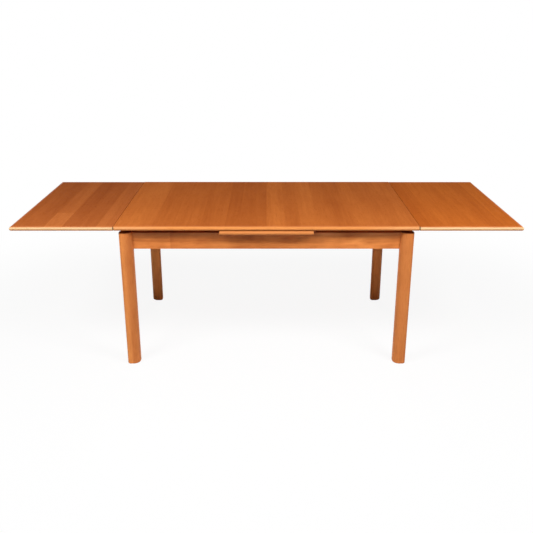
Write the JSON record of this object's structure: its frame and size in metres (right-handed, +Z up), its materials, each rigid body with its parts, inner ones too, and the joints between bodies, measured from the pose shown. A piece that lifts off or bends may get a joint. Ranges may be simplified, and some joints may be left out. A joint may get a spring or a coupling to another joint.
{
  "type": "extending dining table",
  "caption": "Teak dining table whose loose top lifts on guide pegs between sliding draw-leaves on tapered lopers, with rounded straight legs and a set-back apron.",
  "frame": {"origin": "on the floor under the middle of the table", "axes": "+X along the table to the right seen from the front, front towards -Y, +Z up"},
  "size_m": [2.383, 0.9, 0.72],
  "materials": {
    "teak_veneer": "satin lacquered veneer, grain across the table",
    "teak_lipping": "satin lacquered solid edge, half round",
    "teak_leg": "satin lacquered solid wood, grain upright",
    "teak_apron": "satin lacquered, grain along the table",
    "inner_wood": "plain sanded hardwood",
    "steel": "zinc plated"
  },
  "bodies": {
    "frame": {"centre_board_screws": "steel", "centre_panel": "teak_veneer", "corner_block_front_left": "inner_wood", "corner_block_front_right": "inner_wood", "corner_block_rear_left": "inner_wood", "corner_block_rear_right": "inner_wood", "corner_bolts": "steel", "corner_nuts": "steel", "corner_washers": "steel", "front_apron": "teak_apron", "front_centre_lipping": "teak_lipping", "leaf_bearer_front_left": "inner_wood", "leaf_bearer_front_right": "inner_wood", "leaf_bearer_rear_left": "inner_wood", "leaf_bearer_rear_right": "inner_wood", "left_cross_rail": "inner_wood", "left_end_apron": "teak_apron", "leg_front_left": "teak_leg", "leg_front_right": "teak_leg", "leg_rear_left": "teak_leg", "leg_rear_right": "teak_leg", "rear_apron": "teak_apron", "rear_centre_lipping": "teak_lipping", "right_cross_rail": "inner_wood", "right_end_apron": "teak_apron"},
    "top": {"front_guide_peg": "inner_wood", "front_top_lipping": "teak_lipping", "left_top_lipping": "teak_lipping", "peg_screws": "steel", "peg_washers": "steel", "rear_guide_peg": "inner_wood", "rear_top_lipping": "teak_lipping", "right_top_lipping": "teak_lipping", "top_panel": "teak_veneer"},
    "left_leaf": {"left_front_loper": "inner_wood", "left_front_stop_block": "inner_wood", "left_leaf_front_lipping": "teak_lipping", "left_leaf_inner_lipping": "teak_lipping", "left_leaf_outer_lipping": "teak_lipping", "left_leaf_panel": "teak_veneer", "left_leaf_rear_lipping": "teak_lipping", "left_loper_screws": "steel", "left_rear_loper": "inner_wood", "left_rear_stop_block": "inner_wood", "left_stop_screws": "steel"},
    "right_leaf": {"right_front_loper": "inner_wood", "right_front_stop_block": "inner_wood", "right_leaf_front_lipping": "teak_lipping", "right_leaf_inner_lipping": "teak_lipping", "right_leaf_outer_lipping": "teak_lipping", "right_leaf_panel": "teak_veneer", "right_leaf_rear_lipping": "teak_lipping", "right_loper_screws": "steel", "right_rear_loper": "inner_wood", "right_rear_stop_block": "inner_wood", "right_stop_screws": "steel"}
  },
  "joints": [
    {"name": "top_lift", "type": "slide", "parent": "frame", "child": "top", "axis": [0, 0, 1], "range_m": [0, 0.035]},
    {"name": "left_leaf_slide", "type": "slide", "parent": "frame", "child": "left_leaf", "axis": [-0.999, 0, 0.0443], "range_m": [0, 0.012]},
    {"name": "right_leaf_slide", "type": "slide", "parent": "frame", "child": "right_leaf", "axis": [0.999, 0, 0.0443], "range_m": [0, 0.012]}
  ]
}
